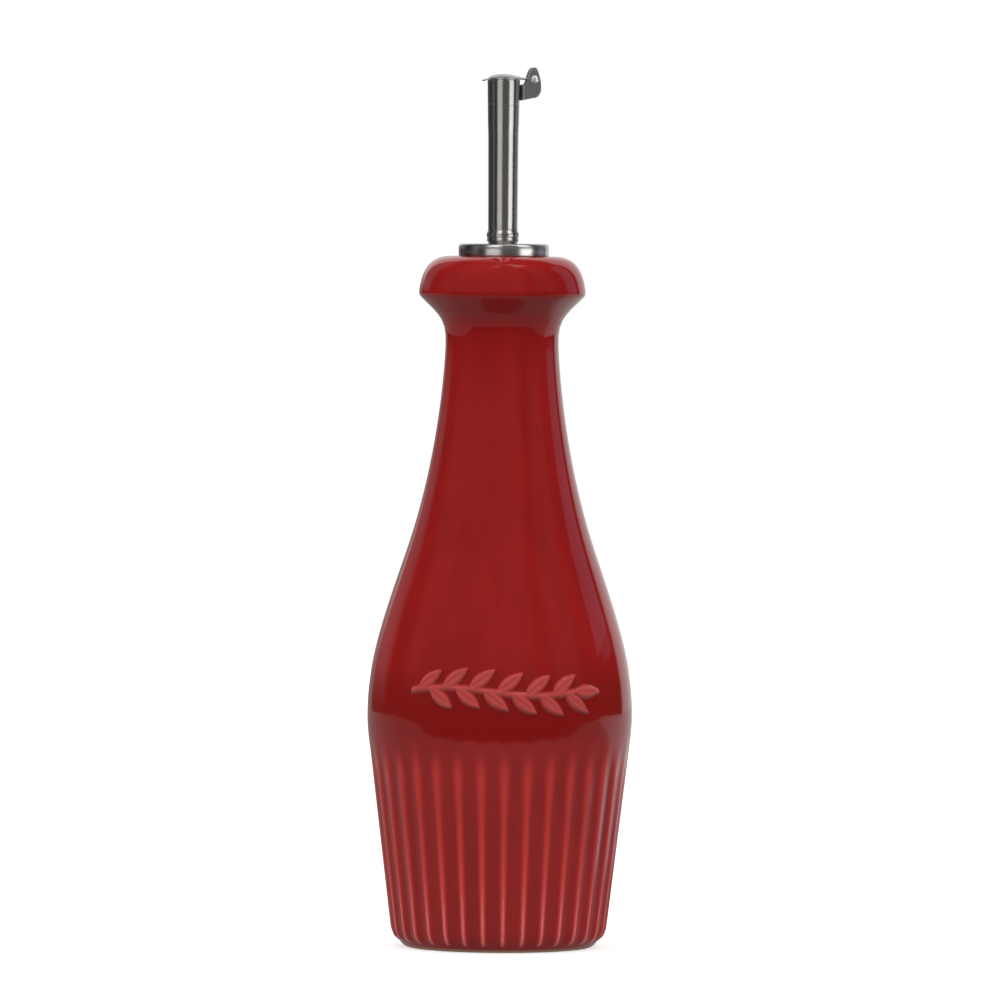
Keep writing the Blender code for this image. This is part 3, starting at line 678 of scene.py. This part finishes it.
def flap_reach(azimuth):
    """The flap's edge from above, as the distance from the tube's axis in each direction:
    a circle, drawn out into a lip at the front and flowing into the strap behind."""
    away = np.abs((azimuth + math.pi) % math.tau - math.pi)
    side = strap_half / np.maximum(np.sin(away), 1e-3)
    fillet = 0.9 * np.exp(-((away - strap_angle) / 0.18) ** 2)
    strap = np.minimum(side + fillet, strap_end / np.maximum(np.cos(away), 0.2))
    strap = np.where(away < 1.0, strap, 0)
    back = math.pi - away
    lip = flap_round + lip_reach * eased((0.48 - back) / 0.30)
    return np.maximum(np.maximum(flap_round, strap), np.where(away > 2.2, lip, 0))


def dome_rise(along, side):
    """Height of the pressed dome over the flap's edge: the long section, known at a few
    places, times (1 less the square of the share of the half width) across it."""
    section = np.interp(along, [-4.4, -4.1, -3.5, -2.6, -1.6, -0.3, 1.0, 2.2, 3.4, 4.7, 6.2, 7.2],
                        [0.0, 0.28, 0.67, 0.95, 1.13, 1.20, 1.15, 0.98, 0.72, 0.40, 0.10, 0.0])
    half = np.sqrt(np.clip(4.4 ** 2 - np.clip(along, -4.4, 3.2) ** 2, 0.01, None))
    half = np.where(along > 3.2, np.interp(along, [3.2, 4.7, 7.2], [3.02, 1.3, 1.0]), half)
    return section * np.clip(1 - (side / half) ** 2, 0, 1)


def flap_surface():
    """Rings from the middle of the top, over the edge and back to the middle below."""
    over_strap = np.linspace(-strap_angle, strap_angle, 61)[:-1]
    over_dome = np.linspace(strap_angle, math.tau - strap_angle, 100)[:-1]
    azimuth = np.concatenate([over_strap, over_dome])
    edge = flap_reach(azimuth)
    inner_shares = np.linspace(0.04, 0.97, 22)
    edge_shares, edge_lifts = [0.985, 0.996, 1.0, 1.0, 0.996, 0.985], [0.98, 0.88, 0.7, 0.3, 0.12, 0.02]
    shares = np.concatenate([inner_shares, edge_shares, inner_shares[::-1]])
    lifts = np.concatenate([np.ones(22), edge_lifts, np.zeros(22)])
    along = shares[:, None] * edge * np.cos(azimuth)
    side = shares[:, None] * edge * np.sin(azimuth)
    droop = -lip_droop * eased((-along - 4.2) / 1.5)
    rise = dome_rise(along, side)
    hollow = dome_rise(along * 1.09, side * 1.09) * (along < 5.2)
    top = flap_under + flap_edge + rise
    base = flap_under + pressed_through * hollow
    height = base + (top - base) * lifts[:, None] + droop
    return np.stack([along, side, height], axis=-1)


def rolled_strap():
    """The strap's end: a flat bar whose middle line runs to the pin and curls round it,
    with a round-cornered section carried along."""
    curl, curl_radius = np.radians(np.linspace(165, -175, 26)), 1.13
    line = np.concatenate([
        cubic((5.4, 233.72), (6.0, 233.72), (6.6, 233.7), (6.95, 233.93), 8)[:-1],
        np.stack([pin_reach + curl_radius * np.cos(curl),
                  pin_height + curl_radius * np.sin(curl)], axis=1)])
    ahead = np.gradient(line, axis=0)
    ahead /= np.linalg.norm(ahead, axis=1)[:, None]
    normal = np.stack([-ahead[:, 1], ahead[:, 0]], axis=1)
    half, thick, corner = 1.16, 0.21, 0.07
    section = rounded([(0, -thick), (half, -thick), (half, thick), (-half, thick), (-half, -thick),
                       (0, -thick)], corner, 3)[:-1]
    along = line[:, None, 0] + normal[:, None, 0] * section[:, 1]
    height = line[:, None, 1] + normal[:, None, 1] * section[:, 1]
    return np.stack([along, section[:, 0] + 0 * along, height], axis=-1)


flap_points = flap_surface()
top_middle = (0, 0, flap_under + flap_edge + dome_middle)
under_middle = (0, 0, flap_under + pressed_through * dome_middle)
flap = skin("flap_cap", pourer_place(flap_points)[::-1], bottom=under_middle, top=top_middle)
curl_points = rolled_strap()
curl_ends = [pourer_place(curl_points[end].mean(axis=0)) for end in (0, -1)]
curl = skin("flap_knuckle", pourer_place(curl_points), bottom=curl_ends[0], top=curl_ends[1])
flap_steel = brushed_steel("flap_steel", 0.28, 0.0, 0.15, (0.56, 0.56, 0.545))
for piece in (flap, curl):
    piece.data.materials.append(flap_steel)
    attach(piece, "flap")
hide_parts("flap")


# ================================================================ floor and light
# A pale table top that ends just in front of the view, and a soft studio: a broad overhead
# light for the shading, and for the reflections a few soft boxes in a dark room. Tall strip
# lamps add the bright and dark lines of the steel, and one cool line along the glaze.

table_front, table_back, table_turn = 240, 1200, 60
table_bearings = np.radians(np.arange(0, 360, 3))
table_off = np.abs((np.degrees(table_bearings) + 180) % 360 - 180)
table_far = table_front / np.cos(np.radians(np.minimum(table_off, table_turn))) ** 0.4
table_far = table_far + table_back * eased((table_off - table_turn) / 45)
table_rings = np.linspace(0.02, 1, 12)[:, None]
table = skin("table_top", round_axis(table_rings * table_far, 0 * table_rings + 0 * table_far,
                                     table_bearings + 0 * table_rings), bottom=(0, 0, 0))
table_white = bpy.data.materials.new("table_white")
table_white.use_nodes = True
start = Wire(table_white.node_tree, None)
ray = start.node("ShaderNodeLightPath", output="Is Camera Ray")
cast = start.node("ShaderNodeBsdfDiffuse", {}, {"Color": (0.80, 0.80, 0.80)})
glow = start.node("ShaderNodeEmission", {}, {"Color": (1, 1, 1), "Strength": 0.55})
seen = start.node("ShaderNodeAddShader", {}, {0: cast, 1: glow})
glossy = start.node("ShaderNodeLightPath", output="Is Glossy Ray")
place = start.node("ShaderNodeTexCoord", output="Object")
across = start.node("ShaderNodeSeparateXYZ", {}, {"Vector": place}, "X")
behind = start.node("ShaderNodeSeparateXYZ", {}, {"Vector": place}, "Y")
lit_corner = across.eased(0.06, 0.14) * behind.eased(0.06, 0.16)
mirrored = start.node("ShaderNodeEmission", {}, {
    "Color": (1, 1, 1), "Strength": 0.24 + glossy * (lit_corner * 0.39 + 0.05)})
choice = start.node("ShaderNodeMixShader", {}, {0: ray, 1: mirrored, 2: seen})
start.plug(table_white.node_tree.nodes["Material Output"].inputs["Surface"], choice)
table.data.materials.append(table_white)

world = bpy.data.worlds.new("studio")
bpy.context.scene.world = world
world.use_nodes = True
world.cycles.sampling_method = "NONE"
start = Wire(world.node_tree, None)
direction = start.node("ShaderNodeTexCoord", output="Generated")
east = start.node("ShaderNodeSeparateXYZ", {}, {"Vector": direction}, "X")
north = start.node("ShaderNodeSeparateXYZ", {}, {"Vector": direction}, "Y")
up = start.node("ShaderNodeSeparateXYZ", {}, {"Vector": direction}, "Z")
degrees = 180 / math.pi
bearing = start.maths("ARCTAN2", east, north * -1.0) * degrees
rise = start.node("ShaderNodeMath", {"operation": "ARCSINE"}, {0: up}) * degrees


def window(value, low, high, soft):
    """1 between low and high, falling to 0 over soft on either side."""
    return value.eased(low - soft, low + soft) * value.eased(high + soft, high - soft)


def softbox(bearings, rises, strength, soft=2.0):
    """Brightness of one patch of the room, by its bearings and elevations in degrees."""
    return window(bearing, *bearings, soft) * window(rise, *rises, soft) * strength


room = 0.02 + softbox((-95, 34), (7, 95), 0.09, 7)
room = room + softbox((50, 80), (7, 95), 0.10, 6)
room = room + softbox((-148, -122), (2, 48), 0.22, 6)
room = room + softbox((40, 86), (70, 88), 1.2, 4)
room = room + softbox((-43, -12), (70, 88), 0.5, 4)
backdrop = window(bearing, 135, 400, 3) * window(rise, -14, 48, 4) * 0.8
backdrop = backdrop + window(bearing, -400, -150, 3) * (window(rise, 6, 48, 4) * 0.6 + 0.25)
room = room + backdrop
overhead = 0.24 + rise.eased(-8, 8) * 0.69
diffuse_ray = start.node("ShaderNodeLightPath", output="Is Diffuse Ray")
camera_ray = start.node("ShaderNodeLightPath", output="Is Camera Ray")
strength = diffuse_ray * overhead + (1 - diffuse_ray) * room
strength = camera_ray * 1.0 + (1 - camera_ray) * strength
background = world.node_tree.nodes["Background"]
background.inputs["Color"].default_value = (1, 1, 1, 1)
start.plug(background.inputs["Strength"], strength)

steel_pieces = bpy.data.collections.new("steel_pieces")
bpy.context.scene.collection.children.link(steel_pieces)
for piece in (collar, spout, bracket, pin, flap, curl):
    steel_pieces.objects.link(piece)
glazed_pieces = bpy.data.collections.new("glazed_pieces")
bpy.context.scene.collection.children.link(glazed_pieces)
glazed_pieces.objects.link(bottle)
white, cool_white = (1, 1, 1), (0.82, 0.88, 1.3)
lamp_level = 205


def strip_lamp(name, bearings, rises, brightness, color=white, shown_by=steel_pieces, distance=800):
    """A tall soft box that only some pieces show: it stands between two bearings and two
    elevations, at a distance from the axis, turned to the tube. Its power is brightness
    times pi times its area."""
    bearing = math.radians(sum(bearings) / 2)
    width = 2 * distance * math.tan(math.radians((bearings[1] - bearings[0]) / 2))
    low, high = (distance * math.tan(math.radians(rise)) for rise in rises)
    height = high - low
    lamp = bpy.data.lights.new(name, "AREA")
    lamp.shape = "RECTANGLE"
    lamp.color = color
    lamp.size, lamp.size_y = width * mm, height * mm
    lamp.energy = brightness * math.pi * width * height * mm * mm
    stand = bpy.data.objects.new(name, lamp)
    bpy.context.scene.collection.objects.link(stand)
    stand.location = (distance * mm * math.sin(bearing), -distance * mm * math.cos(bearing),
                      (lamp_level + (low + high) / 2) * mm)
    stand.rotation_euler = (math.pi / 2, 0, bearing)
    stand.visible_camera = False
    stand.visible_diffuse = False
    stand.light_linking.receiver_collection = shown_by


strip_lamp("key_low", (43, 76), (-30, 4), 2.2)
strip_lamp("key_high", (43, 76), (20, 77), 2.2)
strip_lamp("fill_low", (-45, -9), (-30, 4), 1.08)
strip_lamp("fill_high", (-45, -9), (20, 77), 1.8)
strip_lamp("front_high", (-4, 38), (64, 78), 1.0)
strip_lamp("edge_strip", (-87, -68), (-26, 26), 0.12)
strip_lamp("front_strip", (-4, 38), (-26, 26), 0.08)
strip_lamp("cool_strip", (102, 126), (-30, 44), 0.2, cool_white)
strip_lamp("glaze_strip", (100, 124), (-5.3, 44), 0.29, cool_white, glazed_pieces, 400)
strip_lamp("glaze_strip_end", (107, 124), (-9, -5.3), 0.12, cool_white, glazed_pieces, 400)
